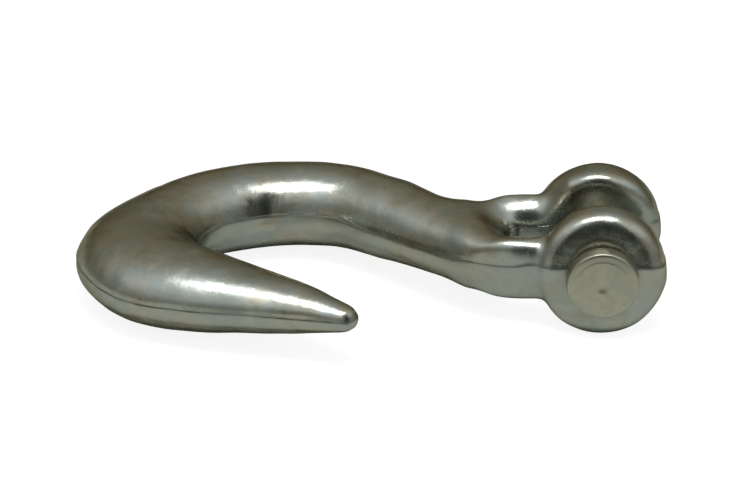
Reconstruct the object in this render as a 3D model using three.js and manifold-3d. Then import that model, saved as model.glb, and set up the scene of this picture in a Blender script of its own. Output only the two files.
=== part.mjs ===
// Safety chain hook: a drop-forged clevis slip hook lying on its side, with its clevis pin and the
// split pin that keeps it in. Millimetres, +Z up. The hook is drawn in a frame of its own: its flat
// middle plane, where the forging dies met, is z = 0, and its clevis points along +X.
// It is then tipped about Y so that its ears and its belly both touch the ground.

import * as THREE from "three";
import { mergeVertices } from "three/addons/utils/BufferGeometryUtils.js";
import Module from "manifold-3d";

const wasm = await Module();
wasm.setup();

// The bar of the hook, from the point, round the bowl and along the neck to the arms of the clevis.
// Each station is the bar's centre, half its width in the hook's plane, half its height, and how
// square its section is on the outer and on the inner side of the bowl: 2 is an oval, and more is
// nearer to a box with round corners.
const BAR_STATIONS = [
  { x: -2.0, y: -25.6, halfWidth: 1.9, halfHeight: 1.8, outer: 2, inner: 2 },
  { x: -11.0, y: -21.3, halfWidth: 4.5, halfHeight: 4.0, outer: 2, inner: 2 },
  { x: -19.7, y: -17.9, halfWidth: 6.7, halfHeight: 5.3, outer: 2, inner: 2 },
  { x: -28.2, y: -14.5, halfWidth: 8.8, halfHeight: 6.4, outer: 2, inner: 2 },
  { x: -35.6, y: -10.1, halfWidth: 10.2, halfHeight: 6.9, outer: 2, inner: 2 },
  { x: -38.7, y: -1.4, halfWidth: 10.2, halfHeight: 7.1, outer: 2, inner: 2 },
  { x: -35.2, y: 7.2, halfWidth: 8.2, halfHeight: 7.1, outer: 2, inner: 2 },
  { x: -30.0, y: 13.0, halfWidth: 7.4, halfHeight: 7.2, outer: 2, inner: 2 },
  { x: -22.0, y: 17.3, halfWidth: 7.4, halfHeight: 7.3, outer: 2, inner: 2 },
  { x: -13.0, y: 19.0, halfWidth: 7.4, halfHeight: 7.2, outer: 2, inner: 2 },
  { x: -3.9, y: 17.6, halfWidth: 7.2, halfHeight: 7.1, outer: 2, inner: 2 },
  { x: 3.8, y: 12.6, halfWidth: 7.1, halfHeight: 6.9, outer: 2, inner: 2 },
  { x: 10.4, y: 7.2, halfWidth: 6.9, halfHeight: 6.2, outer: 2.2, inner: 2 },
  { x: 15.0, y: 4.5, halfWidth: 7.8, halfHeight: 5.9, outer: 3.6, inner: 2.4 },
  { x: 18.6, y: 3.2, halfWidth: 9.3, halfHeight: 6.0, outer: 5, inner: 3.4 },
  { x: 22.6, y: 2.6, halfWidth: 10.3, halfHeight: 6.1, outer: 5, inner: 5 },
  { x: 28.5, y: 2.6, halfWidth: 11.0, halfHeight: 6.0, outer: 5, inner: 5 },
  { x: 34.0, y: 2.6, halfWidth: 11.7, halfHeight: 6.0, outer: 5, inner: 5 },
];
const BELLY = BAR_STATIONS[5];
const BAR_STEPS = 62; // rings along the bar
const ARC_STEPS = 10; // steps round the top, and as many round the bottom, of one ring
const TIP_ROUNDING = 1.6; // length over which the point closes in
const TIP_RINGS = 4;

// The land is the low upright band left round the forging where its flash was trimmed off.
const LAND_HALF = 1.4;
const LAND_STEP = 0.25; // height of the small slope from the land back onto the bar
const LAND_SHARE = 0.4; // the land is never more than this share of the bar's height
const LAND_STEP_SHARE = 0.2; // and its slope is never more than this share of the land

// The ears of the clevis, and the slot between them.
const FORK_Y = 2.6; // middle plane of the fork
const EAR_X = 38.3; // the pin's axis
const EAR_RADIUS = 10.7;
const EAR_ROUNDING = 2.2; // of an ear's rim
const EAR_SIDES = 56;
const ROUNDING_STEPS = 5;
const SLOT_WIDTH = 10; // takes 1/4 in chain
const SLOT_END_X = 21.6;
const SLOT_CORNER = 2.8;
const CHEEK = 7.3; // an ear's thickness
const TRIM = 0.05; // what cutting the slot takes off an ear's inner face
const SLOT_CORNER_STEPS = 6;
const CUT_MARGIN = 2; // how far a cut runs on past the metal
const BORE_RADIUS = 4.35;
const BORE_SIDES = 40;

// The clevis pin, 5/16 in.
const PIN_RADIUS = 3.97;
const PIN_SIDES = 48;
const HEAD_RADIUS = 5.8;
const HEAD_THICKNESS = 2.9;
const HEAD_CHAMFER = 0.45;
const HEAD_DISH_RADIUS = 2.2;
const HEAD_DISH_DEPTH = 0.2;
const DISH_FLOOR_SHARE = 0.6; // of the dish's radius, where its floor starts to rise
const DISH_FLOOR_DEPTH_SHARE = 0.8; // of its depth, there
const END_CHAMFER = 0.8;
const GAP = 0.3; // kept between pieces that touch
const CROSS_HOLE_RADIUS = 1.45;
const CROSS_HOLE_SIDES = 24;
const CROSS_HOLE_FROM_EAR = 2.2; // hole's axis beyond the far ear
const PIN_END_FROM_HOLE = 3.2;

// The split pin, of half-round wire.
const WIRE_RADIUS = 1.1;
const WIRE_STEPS = 8; // steps round the wire's half circle
const PATH_STEPS = 14; // steps in each of its bends, and twice as many round its eye
const LEG_GAP = 0.12; // between the two legs
const EYE_RADIUS = 1.3; // to the flat of the wire
const EYE_PLAY = 0.6; // how far the split pin can slide before its eye meets the clevis pin
const KNEE_RADIUS = 0.7;
const LEG_SPREAD_ANGLE = THREE.MathUtils.degToRad(78);
const LEG_TAILS = [3.2, 2.6]; // straight length past the knee
const SHORTEST_STEP = 0.02; // points of the wire's path closer than this are one point

const MERGE_DISTANCE = 1e-4;
const FORGING_FINISH = { color: 0x93968c, roughness: 0.34, metalness: 1 };
const PIN_FINISH = { color: 0xa9a79b, roughness: 0.42, metalness: 1 };
const WIRE_FINISH = { color: 0xb4b4ae, roughness: 0.3, metalness: 1 };

/** A closed solid for manifold-3d from a closed geometry. */
function toSolid(geometry) {
  const bare = geometry.clone();
  bare.deleteAttribute("normal");
  bare.deleteAttribute("uv");
  const merged = mergeVertices(bare, MERGE_DISTANCE);
  const vertProperties = new Float32Array(merged.attributes.position.array);
  const triVerts = new Uint32Array(merged.index.array);
  return new wasm.Manifold(new wasm.Mesh({ numProp: 3, vertProperties, triVerts }));
}

/** A three.js geometry from a manifold-3d solid. */
function toGeometry(solid) {
  const mesh = solid.getMesh();
  const geometry = new THREE.BufferGeometry();
  geometry.setAttribute("position", new THREE.BufferAttribute(mesh.vertProperties, 3));
  geometry.setIndex(new THREE.BufferAttribute(mesh.triVerts, 1));
  geometry.computeVertexNormals();
  return geometry;
}

/** A closed body through equal-sized convex rings of points. */
function loft(rings) {
  const count = rings[0].length;
  const positions = rings.flat().flatMap((point) => [point.x, point.y, point.z]);
  const index = [];
  for (let i = 0; i < rings.length - 1; i += 1) {
    for (let j = 0; j < count; j += 1) {
      const next = (j + 1) % count;
      const a = i * count + j;
      const b = i * count + next;
      index.push(a, b, b + count, a, b + count, a + count);
    }
  }
  const last = (rings.length - 1) * count;
  for (let j = 1; j < count - 1; j += 1) {
    index.push(0, j + 1, j);
    index.push(last, last + j, last + j + 1);
  }
  const geometry = new THREE.BufferGeometry();
  geometry.setAttribute("position", new THREE.Float32BufferAttribute(positions, 3));
  geometry.setIndex(index);
  return geometry;
}

/** One section of the bar: an oval or a rounded box, with an upright land on each side. */
function barSection(halfWidth, halfHeight, outerSquareness, innerSquareness) {
  const land = Math.min(LAND_HALF, LAND_SHARE * halfHeight);
  const landEnd = land + Math.min(LAND_STEP, LAND_STEP_SHARE * land);
  const points = [];
  for (const side of [1, -1]) {
    points.push(new THREE.Vector2(side * halfWidth, -side * land));
    points.push(new THREE.Vector2(side * halfWidth, side * land));
    for (let k = 0; k <= ARC_STEPS; k += 1) {
      const firstHalf = 2 * k < ARC_STEPS;
      const squareness = firstHalf === (side > 0) ? outerSquareness : innerSquareness;
      const power = 2 / squareness;
      const start = Math.asin((landEnd / halfHeight) ** (1 / power));
      const step = firstHalf ? k : ARC_STEPS - k;
      const fromEdge = start + ((Math.PI - 2 * start) * step) / ARC_STEPS;
      const across = Math.abs(Math.cos(fromEdge)) ** power * (firstHalf ? 1 : -1);
      const up = Math.sin(fromEdge) ** power;
      points.push(new THREE.Vector2(side * halfWidth * across, side * halfHeight * up));
    }
  }
  return points;
}

/** The bar, lofted through its stations. */
function makeBar() {
  const centres = BAR_STATIONS.map((s) => new THREE.Vector3(s.x, s.y, 0));
  const sizes = BAR_STATIONS.map((s) => new THREE.Vector3(s.halfWidth, s.halfHeight, 0));
  const squares = BAR_STATIONS.map((s) => new THREE.Vector3(s.outer, s.inner, 0));
  const centreLine = new THREE.CatmullRomCurve3(centres, false, "centripetal");
  const sizeLine = new THREE.CatmullRomCurve3(sizes, false, "catmullrom", 0.5);
  const squareLine = new THREE.CatmullRomCurve3(squares, false, "catmullrom", 0.5);
  const length = centreLine.getLength();
  const places = [];
  for (let i = 0; i < TIP_RINGS; i += 1) {
    const angle = (Math.PI / 2) * ((i + 0.5) / TIP_RINGS);
    places.push((TIP_ROUNDING * (1 - Math.cos(angle))) / length);
  }
  for (let i = 0; i <= BAR_STEPS; i += 1) {
    const start = TIP_ROUNDING / length;
    places.push(start + ((1 - start) * i) / BAR_STEPS);
  }
  const rings = places.map((place) => {
    const t = centreLine.getUtoTmapping(place);
    const centre = centreLine.getPoint(t);
    const tangent = centreLine.getTangent(t);
    const size = sizeLine.getPoint(t);
    const square = squareLine.getPoint(t);
    const fromTip = Math.min(1, (place * length) / TIP_ROUNDING);
    const closing = Math.sqrt(1 - (1 - fromTip) ** 2);
    const across = new THREE.Vector3(-tangent.y, tangent.x, 0);
    const section = barSection(size.x * closing, size.y * closing, square.x, square.y);
    return section.map((point) => {
      const offset = across.clone().multiplyScalar(point.x);
      return centre.clone().add(offset).setZ(point.y);
    });
  });
  return toSolid(loft(rings));
}

/** The slot between the ears, from above: flat-ended, with rounded corners, open at +X. */
function slotPlan() {
  const half = SLOT_WIDTH / 2;
  const low = FORK_Y - half;
  const high = FORK_Y + half;
  const endX = EAR_X + EAR_RADIUS + CUT_MARGIN;
  const cornerX = SLOT_END_X + SLOT_CORNER;
  const shape = new THREE.Shape();
  shape.moveTo(endX, low);
  shape.lineTo(endX, high);
  shape.lineTo(cornerX, high);
  shape.absarc(cornerX, high - SLOT_CORNER, SLOT_CORNER, Math.PI / 2, Math.PI, false);
  shape.absarc(cornerX, low + SLOT_CORNER, SLOT_CORNER, Math.PI, 1.5 * Math.PI, false);
  return shape;
}

/** One ear, a round disc with a rounded rim, about the pin's axis. Its inner face is trimmed later. */
function makeEar(side) {
  const innerFace = SLOT_WIDTH / 2 - TRIM;
  const outerFace = SLOT_WIDTH / 2 + CHEEK;
  const profile = [new THREE.Vector2(0, innerFace)];
  const corners = [
    { centre: innerFace + EAR_ROUNDING, start: -Math.PI / 2 },
    { centre: outerFace - EAR_ROUNDING, start: 0 },
  ];
  for (const { centre, start } of corners) {
    for (let k = 0; k <= ROUNDING_STEPS; k += 1) {
      const angle = start + ((Math.PI / 2) * k) / ROUNDING_STEPS;
      const radius = EAR_RADIUS - EAR_ROUNDING + EAR_ROUNDING * Math.cos(angle);
      profile.push(new THREE.Vector2(radius, centre + EAR_ROUNDING * Math.sin(angle)));
    }
  }
  profile.push(new THREE.Vector2(0, outerFace));
  const disc = new THREE.LatheGeometry(profile, EAR_SIDES);
  if (side < 0) {
    disc.rotateZ(Math.PI);
  }
  disc.translate(EAR_X, FORK_Y, 0);
  return toSolid(disc);
}

/** The hook's one forging: bar and ears joined, with the slot cut and the ears bored. */
function makeHookBody() {
  const slotHeight = 2 * (EAR_RADIUS + CUT_MARGIN);
  const slot = new THREE.ExtrudeGeometry(slotPlan(), {
    depth: slotHeight,
    bevelEnabled: false,
    curveSegments: SLOT_CORNER_STEPS,
  });
  slot.translate(0, 0, -slotHeight / 2);
  const boreLength = SLOT_WIDTH + 2 * (CHEEK + CUT_MARGIN);
  const bore = new THREE.CylinderGeometry(BORE_RADIUS, BORE_RADIUS, boreLength, BORE_SIDES);
  bore.translate(EAR_X, FORK_Y, 0);
  const blank = makeBar().add(makeEar(-1)).add(makeEar(1));
  return toGeometry(blank.subtract(toSolid(slot)).subtract(toSolid(bore)));
}

const NEAR_FACE_Y = FORK_Y - SLOT_WIDTH / 2 - CHEEK;
const FAR_FACE_Y = FORK_Y + SLOT_WIDTH / 2 + CHEEK;
const CROSS_HOLE_Y = FAR_FACE_Y + CROSS_HOLE_FROM_EAR;

/** The clevis pin: a turned head with a shallow dish, a straight shank and a cross hole. */
function makeClevisPin() {
  const under = NEAR_FACE_Y - GAP;
  const face = under - HEAD_THICKNESS;
  const end = CROSS_HOLE_Y + PIN_END_FROM_HOLE;
  const profile = [
    new THREE.Vector2(0, face + HEAD_DISH_DEPTH),
    new THREE.Vector2(
      HEAD_DISH_RADIUS * DISH_FLOOR_SHARE,
      face + HEAD_DISH_DEPTH * DISH_FLOOR_DEPTH_SHARE,
    ),
    new THREE.Vector2(HEAD_DISH_RADIUS, face),
    new THREE.Vector2(HEAD_RADIUS - HEAD_CHAMFER, face),
    new THREE.Vector2(HEAD_RADIUS, face + HEAD_CHAMFER),
    new THREE.Vector2(HEAD_RADIUS, under),
    new THREE.Vector2(PIN_RADIUS, under),
    new THREE.Vector2(PIN_RADIUS, end - END_CHAMFER),
    new THREE.Vector2(PIN_RADIUS - END_CHAMFER, end),
    new THREE.Vector2(0, end),
  ];
  const turned = new THREE.LatheGeometry(profile, PIN_SIDES);
  const hole = new THREE.CylinderGeometry(
    CROSS_HOLE_RADIUS,
    CROSS_HOLE_RADIUS,
    4 * PIN_RADIUS,
    CROSS_HOLE_SIDES,
  );
  hole.rotateX(Math.PI / 2);
  hole.translate(0, CROSS_HOLE_Y, 0);
  return toGeometry(toSolid(turned).subtract(toSolid(hole)));
}

/**
 * The inner flat of the split pin's wire, from one leg's end, down round the eye, to the other's.
 * Points are across (x) and up (y) from the middle of the clevis pin. The eye hangs underneath,
 * and the bent legs rest on top of the clevis pin.
 */
function cotterPath() {
  const half = LEG_GAP / 2;
  const meet = Math.asin(half / EYE_RADIUS);
  const eyeDown = PIN_RADIUS + GAP + EYE_PLAY + WIRE_RADIUS + EYE_RADIUS;
  const turn = KNEE_RADIUS + WIRE_RADIUS;
  const kneeUp = PIN_RADIUS + GAP - KNEE_RADIUS * (1 - Math.sin(LEG_SPREAD_ANGLE));
  const bend = LEG_SPREAD_ANGLE;
  const kneeEnd = new THREE.Vector2(
    half + turn * (1 - Math.cos(bend)),
    kneeUp + turn * Math.sin(bend),
  );
  const tail = (side, length) => {
    const x = kneeEnd.x + length * Math.sin(bend);
    const y = kneeEnd.y + length * Math.cos(bend);
    return new THREE.Vector2(side * x, y);
  };
  const start = tail(1, LEG_TAILS[0]);
  const finish = tail(-1, LEG_TAILS[1]);
  const path = new THREE.Path();
  path.moveTo(start.x, start.y);
  path.lineTo(kneeEnd.x, kneeEnd.y);
  path.absarc(half + turn, kneeUp, turn, Math.PI - bend, Math.PI, false);
  path.lineTo(half, -eyeDown + EYE_RADIUS * Math.cos(meet));
  path.absarc(0, -eyeDown, EYE_RADIUS, Math.PI / 2 - meet, Math.PI / 2 + meet, true);
  path.lineTo(-half, kneeUp);
  path.absarc(-half - turn, kneeUp, turn, 0, bend, false);
  path.lineTo(finish.x, finish.y);
  return path.getPoints(PATH_STEPS);
}

/** The split pin: half-round wire along its path, flat side inwards. */
function makeCotterPin() {
  const all = cotterPath();
  const path = all.filter((point, i) => i === 0 || point.distanceTo(all[i - 1]) > SHORTEST_STEP);
  const rings = path.map((point, i) => {
    const before = path[Math.max(0, i - 1)];
    const after = path[Math.min(path.length - 1, i + 1)];
    const along = after.clone().sub(before).normalize();
    const outward = new THREE.Vector2(-along.y, along.x);
    const ring = [];
    for (let k = 0; k <= WIRE_STEPS; k += 1) {
      const angle = (Math.PI * k) / WIRE_STEPS - Math.PI / 2;
      const out = WIRE_RADIUS * Math.cos(angle);
      const aside = -WIRE_RADIUS * Math.sin(angle);
      ring.push(
        new THREE.Vector3(point.x + outward.x * out, aside, point.y + outward.y * out),
      );
    }
    return ring;
  });
  const geometry = loft(rings);
  geometry.translate(0, CROSS_HOLE_Y, 0);
  return toGeometry(toSolid(geometry));
}

/** A named mesh in its own plated-steel material. */
function piece(name, geometry, finish) {
  const mesh = new THREE.Mesh(geometry, new THREE.MeshStandardMaterial(finish));
  mesh.name = name;
  return mesh;
}

// Tip the hook onto its ears and its belly: the belly is thinner than the ears are high, so the
// bowl end drops. The tip is the slope of the line that touches both from below.
const drop = EAR_RADIUS - BELLY.halfHeight;
const tip = Math.asin(drop / Math.hypot(EAR_X - BELLY.x, drop));

const hook = new THREE.Group();
hook.add(piece("hook_body", makeHookBody(), FORGING_FINISH));
hook.rotation.y = -tip;

// The clevis pin turns freely in the ears, so its cross hole and the split pin hang upright.
const pinAssembly = new THREE.Group();
pinAssembly.add(piece("clevis_pin", makeClevisPin(), PIN_FINISH));
pinAssembly.add(piece("cotter_pin", makeCotterPin(), WIRE_FINISH));
pinAssembly.position.x = EAR_X;
pinAssembly.rotation.y = tip;
hook.add(pinAssembly);

// The part's origin is under the middle of its box, on the ground.
const part = new THREE.Group();
part.add(hook);
part.updateMatrixWorld(true);
const box = new THREE.Box3().setFromObject(part, true);
const middle = box.getCenter(new THREE.Vector3());
hook.position.set(-middle.x, -middle.y, -box.min.z);

export default part;
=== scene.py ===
"""Looks of a forged, zinc-plated safety chain hook lying on its side, with its clevis pin and split pin."""

import math

import bmesh
import bpy
import numpy as np
from mathutils import Matrix, Vector


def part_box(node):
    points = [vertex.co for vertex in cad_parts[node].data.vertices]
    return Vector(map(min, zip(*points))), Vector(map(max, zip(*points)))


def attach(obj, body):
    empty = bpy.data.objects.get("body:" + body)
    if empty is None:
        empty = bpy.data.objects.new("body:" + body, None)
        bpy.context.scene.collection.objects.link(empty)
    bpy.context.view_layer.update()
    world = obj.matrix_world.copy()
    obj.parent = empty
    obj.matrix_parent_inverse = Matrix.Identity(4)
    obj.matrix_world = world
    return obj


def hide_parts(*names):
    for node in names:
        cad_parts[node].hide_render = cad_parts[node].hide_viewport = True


MM = 0.001

# The hook's own frame: the forging's middle plane is z = 0 and its clevis points along +X.
# The hook lies tipped about Y, and the pin's axis is EAR_X from the origin.
TIP = math.radians(2.6768)
EAR_X = 38.3 * MM
FORK_Y = 2.6 * MM
SLOT_HALF = 5.0 * MM
CHEEK = 7.3 * MM
BORE_RADIUS = 4.35 * MM
BORE_EDGE = (BORE_RADIUS + 0.27 * MM, BORE_RADIUS + 0.9 * MM)  # inside this the ears stay crisp

# Forged surface
VOXEL = 0.33 * MM
SMOOTH_ROUNDS = 44
SMOOTH_STEP = 0.5
NORMAL_ROUNDS = 6
# Each pair below is the stretch over which a change in the form comes in or fades out:
# along X, sideways from the slot's middle plane (aside), or up and down from the forging's (height).
EARS_START = (24 * MM, 31 * MM)
ARMS_START = (17 * MM, 22 * MM)
ARMS_END = (29 * MM, 33 * MM)
EDGE_REACH = 4.5 * MM  # the arms' edges along the slot fall away over this width
EDGE_DROP = 1.5 * MM
FAR_EDGE_DROP = 2.9 * MM
EDGE_LIMIT = 1.1
EDGE_HEIGHTS = (1 * MM, 4 * MM)
CROTCH_X = 24.5 * MM  # middle of the corners at the slot's closed end, the softest on the forging
CROTCH_ROUNDS = 150
CROTCH_REACH = (6 * MM, 9 * MM)  # along X to either side of CROTCH_X
CROTCH_HEIGHTS = (1.0 * MM, 3.0 * MM)
CROTCH_ASIDE = (7.0 * MM, 9.0 * MM)
SLOT_START = (20.5 * MM, 21.2 * MM)
SLOT_MARGIN = 0.4 * MM
WEB_REACH = 1.2 * MM  # how far the web at the slot's closed end runs out
WEB_START = (19.1 * MM, 21.1 * MM)
WEB_END = (23.0 * MM, 30.0 * MM)
WEB_ASIDE = (4.5 * MM, 6.5 * MM)
WEB_HEIGHTS = (0.5 * MM, 5.5 * MM)
EAR_DRAFT = math.radians(10.5)
LEAN_ASIDE = (SLOT_HALF + 0.25 * CHEEK, SLOT_HALF + 0.6 * CHEEK)
LOWER_SWELL = 0.45 * MM
SWELL_HEIGHTS = (5 * MM, 9.5 * MM)  # below the middle plane
SWELL_ASIDE = (SLOT_HALF, SLOT_HALF + 0.5 * CHEEK)
FAR_DRAFT_SHARE = 0.25  # the far ear's outer face leans in less
LAND_PROUD = 0.13 * MM
LAND_SOFTNESS = 0.25 * MM
LAND_FADE_START = 1.2 * MM  # below the middle plane, where the land fades into the bar again
LAND_FADE_END = 3.4 * MM
LAND_BLEND = 4.0  # how softly the heights below blend into each other
WALL_TILTS = (0.45, 0.7)  # a side wall's normals point up or down by less than this
# Waviness: size and wavelength in mm.
WAVINESS = [(0.045, 11), (0.016, 4.5), (0.004, 1.7)]
WAVE_SPREAD = (0.7, 1.4)
WAVE_TERMS = 14
WAVE_SEED = 7
# How high the trimmed land reaches above the middle plane: x, y and height in the hook's frame, in mm.
LAND_TOPS = [
    (-11.0, -25.5, 0.3),
    (-30.0, -22.0, 0.4),
    (-49.0, -1.0, 0.9),
    (-22.0, 25.0, 1.2),
    (-10.0, -17.0, 0.8),
    (-28.0, 0.0, 1.3),
    (-13.0, 11.5, 1.4),
    (5.0, 5.0, 0.5),
    (12.0, -1.0, 0.7),
    (20.0, -6.5, 1.1),
    (30.0, -9.0, 1.8),
    (48.0, -5.0, 2.0),
    (25.0, 13.0, 1.6),
]
MARK_STEEPNESS = 1.5
# Dents and scale marks on the upper side: x, y, radius and depth in mm. A negative depth is a bump.
MARKS = [
    (-39.8, 3.2, 1.9, 0.10),
    (-35.5, 13.4, 1.3, 0.09),
    (-39.2, -23.3, 1.0, 0.16),
    (-17.6, 9.9, 2.0, 0.12),
    (-13.9, 9.9, 1.7, 0.10),
    (-12.3, 8.6, 1.0, -0.05),
    (-31.0, 4.0, 3.0, 0.12),
    (-24.0, -17.5, 2.6, -0.10),
    (-14.0, -22.0, 1.6, 0.10),
    (3.0, 17.5, 2.6, 0.09),
    (21.0, 12.2, 1.4, 0.10),
    (12.6, 4.5, 2.4, 0.08),
]

# Clevis pin and split pin
PIN_RADIUS = 3.97 * MM
HEAD_RADIUS = 5.95 * MM
HEAD_THICKNESS = 2.9 * MM
# The head's face from its dimple outward: radius and depth in from the face, in mm.
HEAD_FACE = [(0, 0.24), (0.5, 0.22), (1.15, 0.06), (1.5, 0.03), (4.35, 0.02), (4.55, 0.07)]
# Its rim: how far inside the head's radius, and depth in from the face, in mm.
HEAD_RIM = [(0.45, 0.12), (0.1, 0.3), (0.0, 0.65)]
HEAD_BACK_BEVEL = (0.25 * MM, 0.2 * MM)
PIN_END_BEVEL = 0.8 * MM
TURNED_SOFTNESS = 0.22 * MM
TURNED_CREASE = math.radians(32)
CUT_LIMIT = 0.45  # a corner's rounding takes at most this share of each side
PIN_SIDES = 128
CROSS_HOLE_RADIUS = 1.45 * MM
CUTTER_REACH = 6 * MM
CUTTER_SIDES = 48
WIRE_RADIUS = 1.1 * MM
LEG_GAP = 0.12 * MM
EYE_RADIUS = 1.3 * MM
EYE_PLAY = 0.6 * MM
KNEE_RADIUS = 0.7 * MM
GAP = 0.3 * MM  # under the pin's head, and between the split pin's legs and the clevis pin
LEG_SPREAD_ANGLE = math.radians(78)
LEG_TAILS = (3.2 * MM, 2.6 * MM)
TAIL_STEPS = 6
KNEE_STEPS = 18
EYE_STEPS = 64
LEG_STEPS = 10
WIRE_ARC = 1.42  # half the angle of the wire's round side, in radians
WIRE_ARC_POINTS = 17
WIRE_SOFTNESS = 0.06 * MM
WIRE_FLAT_SHARE = 0.985
CUT_END_SIZE = 0.86
CUT_END_CENTRE = 0.4 * WIRE_RADIUS  # the cut ends shrink towards this distance from the flat
WIRE_CREASE = math.radians(40)

# Zinc plate: tints from the clouds' low parts to their high ones
FORGING_TINTS = [(0.36, 0.39, 0.34), (0.48, 0.46, 0.39), (0.41, 0.45, 0.42), (0.54, 0.51, 0.44)]
PIN_TINTS = [(0.40, 0.39, 0.32), (0.50, 0.48, 0.39), (0.44, 0.45, 0.38), (0.53, 0.50, 0.41)]
WIRE_TINTS = [(0.52, 0.52, 0.49), (0.58, 0.58, 0.54), (0.55, 0.56, 0.54)]
TINTS_FROM = 0.30  # where the first tint sits in the clouds' range
TINTS_SPAN = 0.40
EDGE_TINT = (0.50, 0.47, 0.40)
SPECK_COLOUR = (0.30, 0.29, 0.25)
SPECK_SHARE = 0.35
RUBBED_ROUGHNESS = 0.10
# Painted shade: a dark line along the land's upper edge, standing in for the shade at the land's small step
LAND_EDGE_SHADE_COLOUR = (0.05, 0.05, 0.04)
LAND_EDGE_SHADE_WIDTH = 0.20  # in mm, to either side of the land's upper edge
STEP_HALF = 0.12
LAND_EDGE_SHADE_SHARE = 0.9
LINE_ROUGHNESS = 0.25
LAND_ROUGHNESS = 0.08
STAIN_COLOUR = (0.33, 0.31, 0.235)
STAIN_SHARE = 0.45
TEAL_COLOUR = (0.34, 0.40, 0.385)
TEAL_SHARE = 0.40

# Camera and light
CAMERA_ELEVATION = math.radians(25.989)
CAMERA_AZIMUTH = math.radians(-0.897)
CAMERA_ROLL = math.radians(3.052)
CAMERA_DISTANCE = 0.66886
CAMERA_AIM = Vector((0.00073, 0.00045, 0.00922))
LENS = 192.0
SENSOR = 36.0
NEAR_CLIP = 0.05
FAR_CLIP = 20.0
SOFTBOX_PLACE = Vector((-0.03, -0.27, 0.84))
SOFTBOX_AIM = Vector((0, 0, 0.01))
SOFTBOX_SIZE = (0.42, 0.28)
SOFTBOX_POWER = 3.7
SOFTBOX_COLOUR = (0.97, 0.98, 1.0)

# Table, dark card and room
STAGE_ROUGHNESS = 0.9
DISC_SIDES = 64
TABLE_COLOUR = (0.25, 0.25, 0.25)
TABLE_GLOW = 0.88
TABLE_RADIUS = 3.0
TABLE_DROP = 0.02 * MM  # the tables lie just under the hook's lowest point
MIRRORED_COLOUR = (0.63, 0.64, 0.585)
MIRRORED_RADIUS = 0.6
MIRRORED_DROP = 0.06 * MM
CARD_COLOUR = (0.03, 0.05, 0.045)
CARD_HALF_WIDTH = 0.034
CARD_AWAY = 0.07
CARD_BOTTOM = 0.001
CARD_TOP = 0.17
# The room's colours from the horizon (0) to straight above (1), on the camera's side and behind the hook.
ROOM_FRONT = [
    (0.0, (0.22, 0.20, 0.16)),
    (0.35, (0.25, 0.26, 0.23)),
    (0.72, (0.80, 0.85, 0.86)),
    (1.0, (0.40, 0.40, 0.37)),
]
ROOM_BACK = [
    (0.0, (0.13, 0.095, 0.055)),
    (0.35, (0.24, 0.22, 0.155)),
    (0.8, (0.29, 0.275, 0.22)),
    (1.0, (0.42, 0.41, 0.37)),
]
BACK_STARTS = -0.35  # where the room turns from one to the other, along Y
BACK_FULL = 0.75


def hook_matrix():
    """The hook's own frame, as a matrix into the CAD frame."""
    low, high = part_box("clevis_pin")
    pin_axis = Vector(((low.x + high.x) / 2, 0.0, (low.z + high.z) / 2))
    turn = Matrix.Rotation(-TIP, 4, "Y")
    near_face = FORK_Y - SLOT_HALF - CHEEK
    origin = pin_axis - turn @ Vector((EAR_X, 0, 0))
    origin.y = low.y + HEAD_THICKNESS + GAP - near_face
    return Matrix.Translation(origin) @ turn


def smoothstep(low, high, value):
    """0 up to low, 1 from high on, and a soft S-curve between them."""
    t = np.clip((value - low) / (high - low), 0.0, 1.0)
    return t * t * (3 - 2 * t)


def new_object(name, data):
    """A new object in the scene, made from a mesh, a light or a camera."""
    made = bpy.data.objects.new(name, data)
    bpy.context.scene.collection.objects.link(made)
    return made


def applied(obj):
    """A new mesh with the object's modifiers applied."""
    graph = bpy.context.evaluated_depsgraph_get()
    mesh = bpy.data.meshes.new_from_object(obj.evaluated_get(graph))
    bpy.data.objects.remove(obj)
    return mesh


def shade(mesh, crease):
    """Smooth shading, with the edges sharper than the crease left hard."""
    bm = bmesh.new()
    bm.from_mesh(mesh)
    for face in bm.faces:
        face.smooth = True
    for edge in bm.edges:
        edge.smooth = edge.calc_face_angle(math.pi) < crease
    bm.to_mesh(mesh)
    bm.free()


def blurred(values, edges, rounds, share):
    """Values averaged along the mesh's edges, a few rounds, each vertex by its own share."""
    count = np.bincount(edges.ravel(), minlength=len(values))[:, None]
    a, b = edges[:, 0], edges[:, 1]
    for _ in range(rounds):
        total = np.zeros_like(values)
        for k in range(values.shape[1]):
            total[:, k] = np.bincount(a, values[b, k], len(values))
            total[:, k] += np.bincount(b, values[a, k], len(values))
        values = values + share * (total / count - values)
    return values


def waves(points, rng, wavelength):
    """Smooth random waviness from -1 to 1 or so, at about the given wavelength."""
    total = np.zeros(len(points))
    for _ in range(WAVE_TERMS):
        direction = rng.normal(size=3)
        length = wavelength * rng.uniform(*WAVE_SPREAD)
        direction *= 2 * math.pi / (length * np.linalg.norm(direction))
        total += np.sin(points @ direction + rng.uniform(0, 2 * math.pi))
    return total / math.sqrt(WAVE_TERMS)


def normals_of(mesh, points):
    """The mesh's vertex normals once its vertices are moved to the points."""
    mesh.vertices.foreach_set("co", points.astype(np.float32).ravel())
    mesh.update()
    normals = np.zeros(len(points) * 3, np.float32)
    mesh.vertex_normals.foreach_get("vector", normals)
    return normals.reshape(-1, 3).astype(float)


def land_top(points):
    """Height of the land's upper edge near each point, in metres."""
    weights = np.zeros(len(points))
    total = np.zeros(len(points))
    for x, y, top in LAND_TOPS:
        away = np.hypot(points[:, 0] - x * MM, points[:, 1] - y * MM) / MM
        weight = 1 / (away**2 + LAND_BLEND) ** 2
        weights += weight
        total += weight * top
    return total / weights * MM


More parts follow.
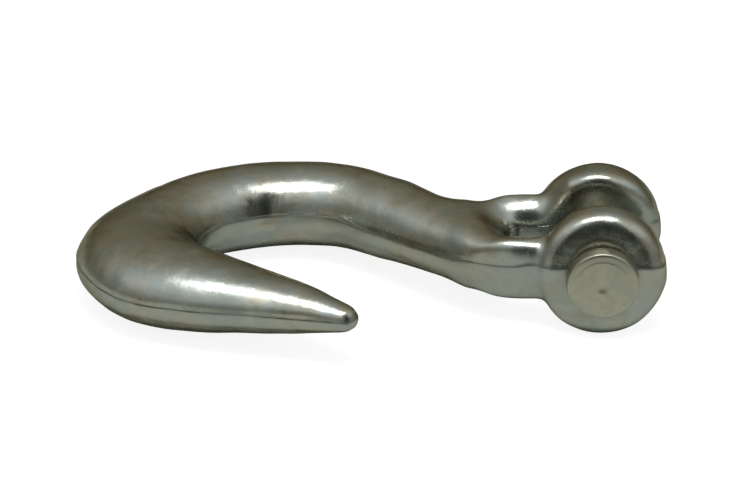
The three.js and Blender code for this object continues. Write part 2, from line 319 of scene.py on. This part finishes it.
def forging_blank():
    """The CAD forging in the hook's own frame, remeshed evenly."""
    blank = new_object("forging_blank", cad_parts["hook_body"].data.copy())
    blank.data.transform(hook_matrix().inverted())
    blank.data.materials.clear()
    remesh = blank.modifiers.new("even", "REMESH")
    remesh.mode = "VOXEL"
    remesh.voxel_size = VOXEL
    remesh.adaptivity = 0.0
    mesh = applied(blank)
    mesh.name = "hook_forging"
    return mesh


def points_of(mesh):
    """The mesh's vertices as rows of x, y and z."""
    points = np.zeros(len(mesh.vertices) * 3, np.float32)
    mesh.vertices.foreach_get("co", points)
    return points.reshape(-1, 3).astype(float)


def edges_of(mesh):
    """The mesh's edges as rows of two vertex numbers."""
    edges = np.zeros(len(mesh.edges) * 2, np.int32)
    mesh.edges.foreach_get("vertices", edges)
    return edges.reshape(-1, 2)


def off_fork(points):
    """Distance of each point from the slot's middle plane."""
    return np.abs(points[:, 1] - FORK_Y)


def rounded_off(points, edges, crisp):
    """The blank rounded off as forging dies do, with what that takes off its broad forms put back."""
    share = SMOOTH_STEP * crisp[:, None]
    softened = blurred(points, edges, SMOOTH_ROUNDS, share)
    lost = blurred(points - softened, edges, SMOOTH_ROUNDS, share)
    return np.where(crisp[:, None] > 0, softened + lost, points)


def swell_lower_edge(points):
    """The near ear's lower edge stands a little proud."""
    lower = smoothstep(*SWELL_HEIGHTS, -points[:, 2]) * (points[:, 1] < FORK_Y)
    lower *= smoothstep(*EARS_START, points[:, 0])
    outer = smoothstep(*SWELL_ASIDE, off_fork(points))
    points[:, 1] -= LOWER_SWELL * lower * outer


def drop_arm_edges(points):
    """The arms' edges along the slot fall away towards the middle plane, the far arm's more."""
    arms = smoothstep(*ARMS_START, points[:, 0]) * (1 - smoothstep(*ARMS_END, points[:, 0]))
    inward = (SLOT_HALF + EDGE_REACH - off_fork(points)) / EDGE_REACH
    drop = np.where(points[:, 1] > FORK_Y, FAR_EDGE_DROP, EDGE_DROP)
    dip = drop * arms * np.clip(inward, 0.0, EDGE_LIMIT) ** 2
    points[:, 2] -= np.sign(points[:, 2]) * dip * smoothstep(*EDGE_HEIGHTS, np.abs(points[:, 2]))


def crotch_softened(points, edges):
    """The corners round the slot's closed end, blurred further."""
    soft = 1 - smoothstep(*CROTCH_REACH, np.abs(points[:, 0] - CROTCH_X))
    soft *= smoothstep(*CROTCH_HEIGHTS, np.abs(points[:, 2]))
    soft *= 1 - smoothstep(*CROTCH_ASIDE, off_fork(points))
    return blurred(points, edges, CROTCH_ROUNDS, SMOOTH_STEP * soft[:, None])


def grow_web(points):
    """The slot's closed end runs out into a thin web at the middle plane."""
    end = 1 - smoothstep(*WEB_END, points[:, 0])
    end *= smoothstep(*WEB_START, points[:, 0])
    end *= 1 - smoothstep(*WEB_ASIDE, off_fork(points))
    points[:, 0] += WEB_REACH * end * (1 - smoothstep(*WEB_HEIGHTS, np.abs(points[:, 2])))


def lean_ears(points):
    """The near ear's outer face leans in above the land, and the far ear's a little on both sides."""
    y = points[:, 1]
    z = points[:, 2]
    outer = smoothstep(*LEAN_ASIDE, off_fork(points))
    along = smoothstep(*EARS_START, points[:, 0])
    beyond = np.maximum(0.0, np.where(y < FORK_Y, z, np.abs(z)) - land_top(points))
    lean = beyond * math.tan(EAR_DRAFT) * outer * along
    points[:, 1] += np.where(y < FORK_Y, lean, -FAR_DRAFT_SHARE * lean)


def soft_normals(mesh, points, edges):
    """Unit normals at the points, averaged a little over their neighbours."""
    normals = blurred(normals_of(mesh, points), edges, NORMAL_ROUNDS, SMOOTH_STEP)
    return normals / np.linalg.norm(normals, axis=1)[:, None]


def land_shares(points, normals, crisp):
    """Depth below the land's upper edge, share of side wall, and share of raised land at each point."""
    inside = land_top(points) - points[:, 2]
    wall = 1 - smoothstep(*WALL_TILTS, np.abs(normals[:, 2]))
    in_slot = 1 - smoothstep(0, SLOT_MARGIN, off_fork(points) - SLOT_HALF)
    in_slot *= smoothstep(*SLOT_START, points[:, 0])
    wall *= (1 - in_slot) * crisp
    fade = smoothstep(-LAND_FADE_END, -LAND_FADE_START, points[:, 2])
    land = smoothstep(-LAND_SOFTNESS, LAND_SOFTNESS, inside) * wall * fade
    return inside, wall * fade, land


def surface_height(points, land, crisp):
    """The land's step, slight waviness and the marks, as heights along the normals."""
    rng = np.random.default_rng(WAVE_SEED)
    height = LAND_PROUD * land
    for size, wavelength in WAVINESS:
        height += crisp * size * MM * waves(points, rng, wavelength * MM)
    for mark_x, mark_y, radius, depth in MARKS:
        away = np.hypot(points[:, 0] - mark_x * MM, points[:, 1] - mark_y * MM) / (radius * MM)
        height -= depth * MM * np.exp(-(away**2) * MARK_STEEPNESS) * (points[:, 2] > 0)
    return height


def make_hook(material):
    """The forging: the CAD solid with soft forged edges, leaning ears and its trimmed land."""
    mesh = forging_blank()
    points = points_of(mesh)
    edges = edges_of(mesh)
    from_pin = np.hypot(points[:, 0] - EAR_X, points[:, 2])
    crisp = smoothstep(*BORE_EDGE, from_pin)
    points = rounded_off(points, edges, crisp)
    swell_lower_edge(points)
    drop_arm_edges(points)
    points = crotch_softened(points, edges)
    grow_web(points)
    lean_ears(points)
    normals = soft_normals(mesh, points, edges)
    inside, wall, land = land_shares(points, normals, crisp)
    points += normals * surface_height(points, land, crisp)[:, None]

    mesh.vertices.foreach_set("co", points.astype(np.float32).ravel())
    for name, values in (("land_inside", inside / MM), ("land_wall", wall)):
        attribute = mesh.attributes.new(name, "FLOAT", "POINT")
        attribute.data.foreach_set("value", values.astype(np.float32))
    mesh.transform(hook_matrix())
    mesh.polygons.foreach_set("use_smooth", np.ones(len(mesh.polygons), bool))
    mesh.materials.append(material)
    hook = new_object("hook_forging", mesh)
    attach(hook, "hook")
    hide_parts("hook_body")


def lathe(profile, sides):
    """A closed turned mesh about the Y axis from (radius, y) points that start and end on the axis."""
    bm = bmesh.new()
    rings = []
    for radius, along in profile[1:-1]:
        ring = []
        for k in range(sides):
            angle = 2 * math.pi * k / sides
            ring.append(bm.verts.new((radius * math.cos(angle), along, radius * math.sin(angle))))
        rings.append(ring)
    start = bm.verts.new((0, profile[0][1], 0))
    end = bm.verts.new((0, profile[-1][1], 0))
    for k in range(sides):
        after = (k + 1) % sides
        bm.faces.new((start, rings[0][k], rings[0][after]))
        bm.faces.new((end, rings[-1][after], rings[-1][k]))
        for ring, next_ring in zip(rings, rings[1:]):
            bm.faces.new((ring[k], next_ring[k], next_ring[after], ring[after]))
    bmesh.ops.recalc_face_normals(bm, faces=bm.faces)
    mesh = bpy.data.meshes.new("turned")
    bm.to_mesh(mesh)
    bm.free()
    return mesh


def rounded(points, radius, steps=4):
    """The profile with each of its inner corners replaced by a small arc-like curve."""
    out = [points[0]]
    for before, corner, after in zip(points, points[1:], points[2:]):
        a, c, b = Vector(before), Vector(corner), Vector(after)
        cut = min(radius, CUT_LIMIT * (a - c).length, CUT_LIMIT * (b - c).length)
        p = c + (a - c).normalized() * cut
        q = c + (b - c).normalized() * cut
        for k in range(steps + 1):
            t = k / steps
            out.append(tuple(p * (1 - t) ** 2 + c * 2 * t * (1 - t) + q * t**2))
    out.append(points[-1])
    return out


def make_clevis_pin(material):
    """The headed pin: an upset head with a broad soft chamfer and a shallow centre dimple."""
    low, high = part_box("clevis_pin")
    face, end = low.y, high.y
    under = face + HEAD_THICKNESS
    profile = [(radius * MM, face + depth * MM) for radius, depth in HEAD_FACE]
    profile += [(HEAD_RADIUS - inset * MM, face + depth * MM) for inset, depth in HEAD_RIM]
    profile += [
        (HEAD_RADIUS, under - HEAD_BACK_BEVEL[1]),
        (HEAD_RADIUS - HEAD_BACK_BEVEL[0], under),
        (PIN_RADIUS, under),
        (PIN_RADIUS, end - PIN_END_BEVEL),
        (PIN_RADIUS - PIN_END_BEVEL, end),
        (0, end),
    ]
    turned = new_object("clevis_pin_blank", lathe(rounded(profile, TURNED_SOFTNESS), PIN_SIDES))
    _, cotter_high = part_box("cotter_pin")
    hole_y = cotter_high.y - WIRE_RADIUS
    cutter_profile = [
        (0, -CUTTER_REACH),
        (CROSS_HOLE_RADIUS, -CUTTER_REACH),
        (CROSS_HOLE_RADIUS, CUTTER_REACH),
        (0, CUTTER_REACH),
    ]
    cutter_mesh = lathe(cutter_profile, CUTTER_SIDES)
    cutter_mesh.transform(Matrix.Translation((0, hole_y, 0)) @ Matrix.Rotation(math.pi / 2, 4, "X"))
    cutter = new_object("cross_hole_cutter", cutter_mesh)
    cut = turned.modifiers.new("cross_hole", "BOOLEAN")
    cut.operation = "DIFFERENCE"
    cut.solver = "EXACT"
    cut.object = cutter
    mesh = applied(turned)
    bpy.data.objects.remove(cutter)
    mesh.name = "headed_pin"
    mesh.transform(Matrix.Translation(((low.x + high.x) / 2, 0, (low.z + high.z) / 2)))
    shade(mesh, TURNED_CREASE)
    mesh.materials.append(material)
    pin = new_object("headed_pin", mesh)
    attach(pin, "pin")
    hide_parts("clevis_pin")


def arc(centre, radius, start, finish, steps):
    """Points on an arc, both ends included, from one angle to the other."""
    angles = [start + (finish - start) * k / steps for k in range(steps + 1)]
    return [Vector((centre[0] + radius * math.cos(a), centre[1] + radius * math.sin(a))) for a in angles]


def cotter_path():
    """The inner flat of the split pin's wire, (across, up) from the clevis pin's axis, leg to leg."""
    half = LEG_GAP / 2
    bend = LEG_SPREAD_ANGLE
    turn = KNEE_RADIUS + WIRE_RADIUS
    knee_up = PIN_RADIUS + GAP - KNEE_RADIUS * (1 - math.sin(bend))
    knee_end = Vector((half + turn * (1 - math.cos(bend)), knee_up + turn * math.sin(bend)))
    eye_down = PIN_RADIUS + GAP + EYE_PLAY + WIRE_RADIUS + EYE_RADIUS
    meet = math.asin(half / EYE_RADIUS)
    away = Vector((math.sin(bend), math.cos(bend)))
    long_leg = [knee_end + away * LEG_TAILS[0] * (1 - k / TAIL_STEPS) for k in range(TAIL_STEPS)]
    short_end = Vector((-knee_end.x, knee_end.y))
    short_away = Vector((-away.x, away.y))
    short_leg = [short_end + short_away * LEG_TAILS[1] * k / TAIL_STEPS for k in range(1, TAIL_STEPS + 1)]
    right_knee = arc((half + turn, knee_up), turn, math.pi - bend, math.pi, KNEE_STEPS)
    left_knee = arc((-half - turn, knee_up), turn, 0, bend, KNEE_STEPS)
    eye = arc((0, -eye_down), EYE_RADIUS, math.pi / 2 - meet, -1.5 * math.pi + meet, EYE_STEPS)
    down = [right_knee[-1].lerp(eye[0], k / LEG_STEPS) for k in range(1, LEG_STEPS)]
    rise = [eye[-1].lerp(left_knee[0], k / LEG_STEPS) for k in range(1, LEG_STEPS)]
    return long_leg + right_knee + down + eye + rise + left_knee + short_leg


def wire_section():
    """The half-round wire's section with soft corners: (outward, aside) points."""
    angles = np.linspace(-WIRE_ARC, WIRE_ARC, WIRE_ARC_POINTS)
    round_side = [(WIRE_RADIUS * math.cos(a), WIRE_RADIUS * math.sin(a)) for a in angles]
    edge = WIRE_RADIUS * WIRE_FLAT_SHARE
    corner_out = 0.3 * WIRE_SOFTNESS
    corner_in = edge - WIRE_SOFTNESS
    flat = edge - 2.5 * WIRE_SOFTNESS
    return [(corner_out, -corner_in), *round_side, (corner_out, corner_in), (0, flat), (0, -flat)]


def make_cotter(material):
    """The split pin, swept along its path, with its cut ends drawn in a little."""
    low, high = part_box("clevis_pin")
    _, wire_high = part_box("cotter_pin")
    axis = Vector(((low.x + high.x) / 2, wire_high.y - WIRE_RADIUS, (low.z + high.z) / 2))
    path = cotter_path()
    section = wire_section()
    bm = bmesh.new()
    rings = []
    last = len(path) - 1
    for i, point in enumerate(path):
        along = (path[min(last, i + 1)] - path[max(0, i - 1)]).normalized()
        outward = Vector((-along.y, along.x))
        size = CUT_END_SIZE if i in (0, last) else 1.0
        ring = []
        for out, aside in section:
            at = point + outward * (out * size + CUT_END_CENTRE * (1 - size))
            ring.append(bm.verts.new(axis + Vector((at.x, aside * size, at.y))))
        rings.append(ring)
    for ring, after in zip(rings, rings[1:]):
        for k in range(len(section)):
            n = (k + 1) % len(section)
            bm.faces.new((ring[k], ring[n], after[n], after[k]))
    bm.faces.new(rings[0])
    bm.faces.new(rings[-1][::-1])
    bmesh.ops.recalc_face_normals(bm, faces=bm.faces)
    mesh = bpy.data.meshes.new("split_pin_wire")
    bm.to_mesh(mesh)
    bm.free()
    shade(mesh, WIRE_CREASE)
    mesh.materials.append(material)
    cotter = new_object("split_pin_wire", mesh)
    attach(cotter, "split_pin")
    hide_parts("cotter_pin")


def set_stops(ramp, stops):
    """Gives a colour ramp its (position, colour) stops."""
    elements = ramp.color_ramp.elements
    while len(elements) < len(stops):
        elements.new(0.5)
    for element, (position, colour) in zip(elements, stops):
        element.position = position
        element.color = (*colour, 1.0)


class Graph:
    """Short names for building a material's nodes."""

    def __init__(self, name):
        self.material = bpy.data.materials.new(name)
        self.material.use_nodes = True
        self.tree = self.material.node_tree
        self.shader = self.tree.nodes["Principled BSDF"]
        self.place = self.add("ShaderNodeTexCoord").outputs["Object"]

    def add(self, kind, **settings):
        node = self.tree.nodes.new(kind)
        for key, value in settings.items():
            setattr(node, key, value)
        return node

    def join(self, source, target):
        self.tree.links.new(source, target)

    def noise(self, scale, detail=4.0, roughness=0.55, distortion=0.0):
        node = self.add("ShaderNodeTexNoise")
        node.inputs["Scale"].default_value = scale
        node.inputs["Detail"].default_value = detail
        node.inputs["Roughness"].default_value = roughness
        node.inputs["Distortion"].default_value = distortion
        self.join(self.place, node.inputs["Vector"])
        return node.outputs["Fac"]

    def ramp(self, source, stops):
        node = self.add("ShaderNodeValToRGB")
        set_stops(node, stops)
        self.join(source, node.inputs["Fac"])
        return node.outputs["Color"]

    def span(self, source, low, high, to_low=0.0, to_high=1.0):
        node = self.add("ShaderNodeMapRange")
        node.interpolation_type = "SMOOTHSTEP"
        for key, value in (("From Min", low), ("From Max", high), ("To Min", to_low), ("To Max", to_high)):
            node.inputs[key].default_value = value
        self.join(source, node.inputs["Value"])
        return node.outputs["Result"]

    def math(self, operation, a, b):
        node = self.add("ShaderNodeMath", operation=operation)
        for socket, value in zip(node.inputs, (a, b)):
            if isinstance(value, (int, float)):
                socket.default_value = value
            else:
                self.join(value, socket)
        return node.outputs[0]

    def mix(self, factor, a, b):
        node = self.add("ShaderNodeMix", data_type="RGBA")
        self.join(factor, node.inputs["Factor"])
        colours = [s for s in node.inputs if s.type == "RGBA"]
        for socket, value in zip(colours, (a, b)):
            if isinstance(value, tuple):
                socket.default_value = (*value, 1.0)
            else:
                self.join(value, socket)
        return [s for s in node.outputs if s.type == "RGBA"][0]

    def attribute(self, name):
        return self.add("ShaderNodeAttribute", attribute_name=name).outputs["Fac"]

    def bump(self, height, distance, strength, below=None):
        node = self.add("ShaderNodeBump")
        node.inputs["Distance"].default_value = distance
        node.inputs["Strength"].default_value = strength
        self.join(height, node.inputs["Height"])
        if below is not None:
            self.join(below, node.inputs["Normal"])
        return node.outputs["Normal"]


def zinc(name, tints, roughness, grain):
    """Zinc plate: metal in cloudy tints, uneven gloss, fine grain and duller rubbed spots."""
    g = Graph(name)
    g.shader.inputs["Metallic"].default_value = 1.0
    g.shader.inputs["Specular Tint"].default_value = (*EDGE_TINT, 1.0)
    clouds = g.noise(scale=150.0, detail=5.0, roughness=0.6, distortion=0.4)
    steps = [TINTS_FROM + TINTS_SPAN * k / (len(tints) - 1) for k in range(len(tints))]
    colour = g.ramp(clouds, list(zip(steps, tints)))
    specks = g.span(g.noise(scale=900.0, detail=3.0, roughness=0.6), low=0.60, high=0.74)
    colour = g.mix(g.math("MULTIPLY", specks, SPECK_SHARE), colour, SPECK_COLOUR)
    patches = g.noise(scale=330.0, detail=6.0, roughness=0.7, distortion=0.6)
    rubbed = g.math("MULTIPLY", g.span(patches, low=0.56, high=0.70), RUBBED_ROUGHNESS)
    glossiest, dullest = roughness
    clouded = g.span(clouds, low=0.3, high=0.7, to_low=glossiest, to_high=dullest)
    gloss = g.math("ADD", clouded, rubbed)
    fine_grain = g.noise(scale=1900.0, detail=3.0, roughness=0.55)
    fine = g.bump(fine_grain, distance=0.03 * MM, strength=grain)
    broad_grain = g.noise(scale=420.0, detail=3.0, roughness=0.5)
    broad = g.bump(broad_grain, distance=0.10 * MM, strength=grain, below=fine)
    return g, colour, gloss, broad


def finish_zinc(g, colour, gloss, normal):
    """Joins colour, gloss and normal to the shader and returns the material."""
    g.join(colour, g.shader.inputs["Base Color"])
    g.join(gloss, g.shader.inputs["Roughness"])
    g.join(normal, g.shader.inputs["Normal"])
    return g.material


def forging_material():
    """Zinc plate with painted shade in a dark line along the land's upper edge, stains and bluish patches.
    """
    g, colour, gloss, normal = zinc("zinc_on_forging", FORGING_TINTS, roughness=(0.21, 0.33), grain=0.45)
    inside = g.attribute("land_inside")  # in mm below the land's upper edge
    wall = g.attribute("land_wall")
    wander = g.span(g.noise(scale=240.0, roughness=0.6), low=0.35, high=0.65, to_low=0.4, to_high=1.0)
    # Painted shade: a dark line along the land's upper edge, where its small step would shade the metal
    near_edge = g.span(g.math("ABSOLUTE", inside, 0.0), low=0.0, high=LAND_EDGE_SHADE_WIDTH, to_low=1.0, to_high=0.0)
    painted_edge_shade = g.math("MULTIPLY", g.math("MULTIPLY", near_edge, wall), wander)
    colour = g.mix(g.math("MULTIPLY", painted_edge_shade, LAND_EDGE_SHADE_SHARE), colour, LAND_EDGE_SHADE_COLOUR)
    step = g.math("MULTIPLY", g.span(inside, low=-STEP_HALF, high=STEP_HALF), wall)
    normal = g.bump(step, distance=0.04 * MM, strength=0.6, below=normal)
    in_land = g.math("MULTIPLY", g.span(inside, low=0.0, high=0.2), wall)
    gloss = g.math("ADD", gloss, g.math("MULTIPLY", in_land, LAND_ROUGHNESS))
    gloss = g.math("ADD", gloss, g.math("MULTIPLY", painted_edge_shade, LINE_ROUGHNESS))
    stain = g.span(g.noise(scale=95.0, roughness=0.6, distortion=0.8), low=0.48, high=0.66)
    colour = g.mix(g.math("MULTIPLY", stain, STAIN_SHARE), colour, STAIN_COLOUR)
    teal = g.span(g.noise(scale=70.0, detail=3.0, roughness=0.5, distortion=0.5), low=0.52, high=0.68)
    colour = g.mix(g.math("MULTIPLY", teal, TEAL_SHARE), colour, TEAL_COLOUR)
    return finish_zinc(g, colour, gloss, normal)


def pin_material():
    """The duller, warmer zinc plate of the turned clevis pin."""
    return finish_zinc(*zinc("zinc_on_pin", PIN_TINTS, roughness=(0.34, 0.46), grain=0.55))


def wire_material():
    """The paler zinc plate of the split pin's drawn wire."""
    return finish_zinc(*zinc("zinc_on_wire", WIRE_TINTS, roughness=(0.26, 0.36), grain=0.3))


def flat_disc(name, radius, height, material):
    """A stage disc that faces up."""
    bm = bmesh.new()
    bmesh.ops.create_circle(bm, cap_ends=True, segments=DISC_SIDES, radius=radius)
    mesh = bpy.data.meshes.new(name)
    bm.to_mesh(mesh)
    bm.free()
    mesh.transform(Matrix.Translation((0, 0, height)))
    mesh.materials.append(material)
    disc = new_object(name, mesh)
    return disc


def make_stage():
    """A plain white table, and under it the greyer one that the metal mirrors."""
    white = Graph("white_table")
    white.shader.inputs["Base Color"].default_value = (*TABLE_COLOUR, 1.0)
    white.shader.inputs["Roughness"].default_value = STAGE_ROUGHNESS
    white.shader.inputs["Specular IOR Level"].default_value = 0.0
    white.shader.inputs["Emission Color"].default_value = (1.0, 1.0, 1.0, 1.0)
    white.shader.inputs["Emission Strength"].default_value = TABLE_GLOW
    seen = flat_disc("table_top", TABLE_RADIUS, -TABLE_DROP, white.material)
    seen.visible_glossy = False
    seen.visible_diffuse = False
    seen.visible_shadow = False
    grey = Graph("table_in_reflections")
    grey.shader.inputs["Base Color"].default_value = (*MIRRORED_COLOUR, 1.0)
    grey.shader.inputs["Roughness"].default_value = STAGE_ROUGHNESS
    grey.shader.inputs["Specular IOR Level"].default_value = 0.0
    mirrored = flat_disc("table_mirrored", MIRRORED_RADIUS, -MIRRORED_DROP, grey.material)
    mirrored.visible_camera = False


def make_dark_card():
    """A dark card in front of the clevis: the near ear mirrors it above the pin's head."""
    dark = Graph("dark_card")
    dark.shader.inputs["Base Color"].default_value = (*CARD_COLOUR, 1.0)
    dark.shader.inputs["Roughness"].default_value = STAGE_ROUGHNESS
    low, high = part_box("clevis_pin")
    middle = (low.x + high.x) / 2
    bm = bmesh.new()
    front = low.y - CARD_AWAY
    lower = [(-CARD_HALF_WIDTH, CARD_BOTTOM), (CARD_HALF_WIDTH, CARD_BOTTOM)]
    upper = [(CARD_HALF_WIDTH, CARD_TOP), (-CARD_HALF_WIDTH, CARD_TOP)]
    bm.faces.new([bm.verts.new((middle + x, front, z)) for x, z in lower + upper])
    mesh = bpy.data.meshes.new("dark_card")
    bm.to_mesh(mesh)
    bm.free()
    mesh.materials.append(dark.material)
    card = new_object("dark_card", mesh)
    card.visible_camera = False
    card.visible_diffuse = False
    card.visible_shadow = False


def make_world():
    """A dim room, grey to pale on the camera's side and warm grey behind, white where the camera looks."""
    world = bpy.data.worlds.new("room")
    bpy.context.scene.world = world
    world.use_nodes = True
    tree = world.node_tree
    tree.nodes.clear()
    links = tree.links
    where = tree.nodes.new("ShaderNodeTexCoord")
    split = tree.nodes.new("ShaderNodeSeparateXYZ")
    links.new(where.outputs["Generated"], split.inputs[0])
    back = tree.nodes.new("ShaderNodeMapRange")
    back.interpolation_type = "SMOOTHSTEP"
    back.inputs["From Min"].default_value = BACK_STARTS
    back.inputs["From Max"].default_value = BACK_FULL
    links.new(split.outputs["Y"], back.inputs["Value"])
    front_ramp = tree.nodes.new("ShaderNodeValToRGB")
    back_ramp = tree.nodes.new("ShaderNodeValToRGB")
    for ramp, stops in ((front_ramp, ROOM_FRONT), (back_ramp, ROOM_BACK)):
        set_stops(ramp, stops)
        links.new(split.outputs["Z"], ramp.inputs[0])
    both = tree.nodes.new("ShaderNodeMix")
    both.data_type = "RGBA"
    colours = [s for s in both.inputs if s.type == "RGBA"]
    links.new(back.outputs[0], both.inputs["Factor"])
    links.new(front_ramp.outputs[0], colours[0])
    links.new(back_ramp.outputs[0], colours[1])
    room = tree.nodes.new("ShaderNodeBackground")
    links.new([s for s in both.outputs if s.type == "RGBA"][0], room.inputs["Color"])
    pale = tree.nodes.new("ShaderNodeBackground")
    pale.inputs["Color"].default_value = (1.0, 1.0, 1.0, 1.0)
    ray = tree.nodes.new("ShaderNodeLightPath")
    choose = tree.nodes.new("ShaderNodeMixShader")
    links.new(ray.outputs["Is Camera Ray"], choose.inputs[0])
    links.new(room.outputs[0], choose.inputs[1])
    links.new(pale.outputs[0], choose.inputs[2])
    out = tree.nodes.new("ShaderNodeOutputWorld")
    links.new(choose.outputs[0], out.inputs["Surface"])


def make_light():
    """One overhead softbox, turned towards the hook."""
    data = bpy.data.lights.new("overhead_softbox", "AREA")
    data.shape = "RECTANGLE"
    data.size, data.size_y = SOFTBOX_SIZE
    data.energy = SOFTBOX_POWER
    data.color = SOFTBOX_COLOUR
    light = new_object("overhead_softbox", data)
    light.location = SOFTBOX_PLACE
    light.rotation_mode = "QUATERNION"
    light.rotation_quaternion = (SOFTBOX_AIM - SOFTBOX_PLACE).to_track_quat("-Z", "Y")


def make_camera():
    """The camera at the photo's angle, aimed near the middle of the hook."""
    data = bpy.data.cameras.new("camera")
    data.lens = LENS
    data.sensor_width = SENSOR
    data.clip_start = NEAR_CLIP
    data.clip_end = FAR_CLIP
    camera = new_object("camera", data)
    level = math.cos(CAMERA_ELEVATION)
    back = Vector((
        math.sin(CAMERA_AZIMUTH) * level,
        -math.cos(CAMERA_AZIMUTH) * level,
        math.sin(CAMERA_ELEVATION),
    ))
    camera.location = CAMERA_AIM + back * CAMERA_DISTANCE
    camera.rotation_mode = "QUATERNION"
    upright = (-back).to_track_quat("-Z", "Y").to_matrix().to_4x4()
    camera.rotation_quaternion = (upright @ Matrix.Rotation(CAMERA_ROLL, 4, "Z")).to_quaternion()
    bpy.context.scene.camera = camera


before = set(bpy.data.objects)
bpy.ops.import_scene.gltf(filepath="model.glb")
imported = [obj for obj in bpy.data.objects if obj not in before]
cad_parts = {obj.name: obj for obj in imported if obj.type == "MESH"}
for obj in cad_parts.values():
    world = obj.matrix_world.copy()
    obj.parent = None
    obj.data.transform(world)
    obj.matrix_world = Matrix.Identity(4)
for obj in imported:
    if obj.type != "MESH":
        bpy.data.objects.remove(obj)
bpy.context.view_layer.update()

make_camera()
make_stage()
make_world()
make_light()
make_dark_card()
make_hook(forging_material())
make_clevis_pin(pin_material())
make_cotter(wire_material())

scene = bpy.context.scene
scene.view_settings.view_transform = "Standard"
scene.view_settings.look = "None"
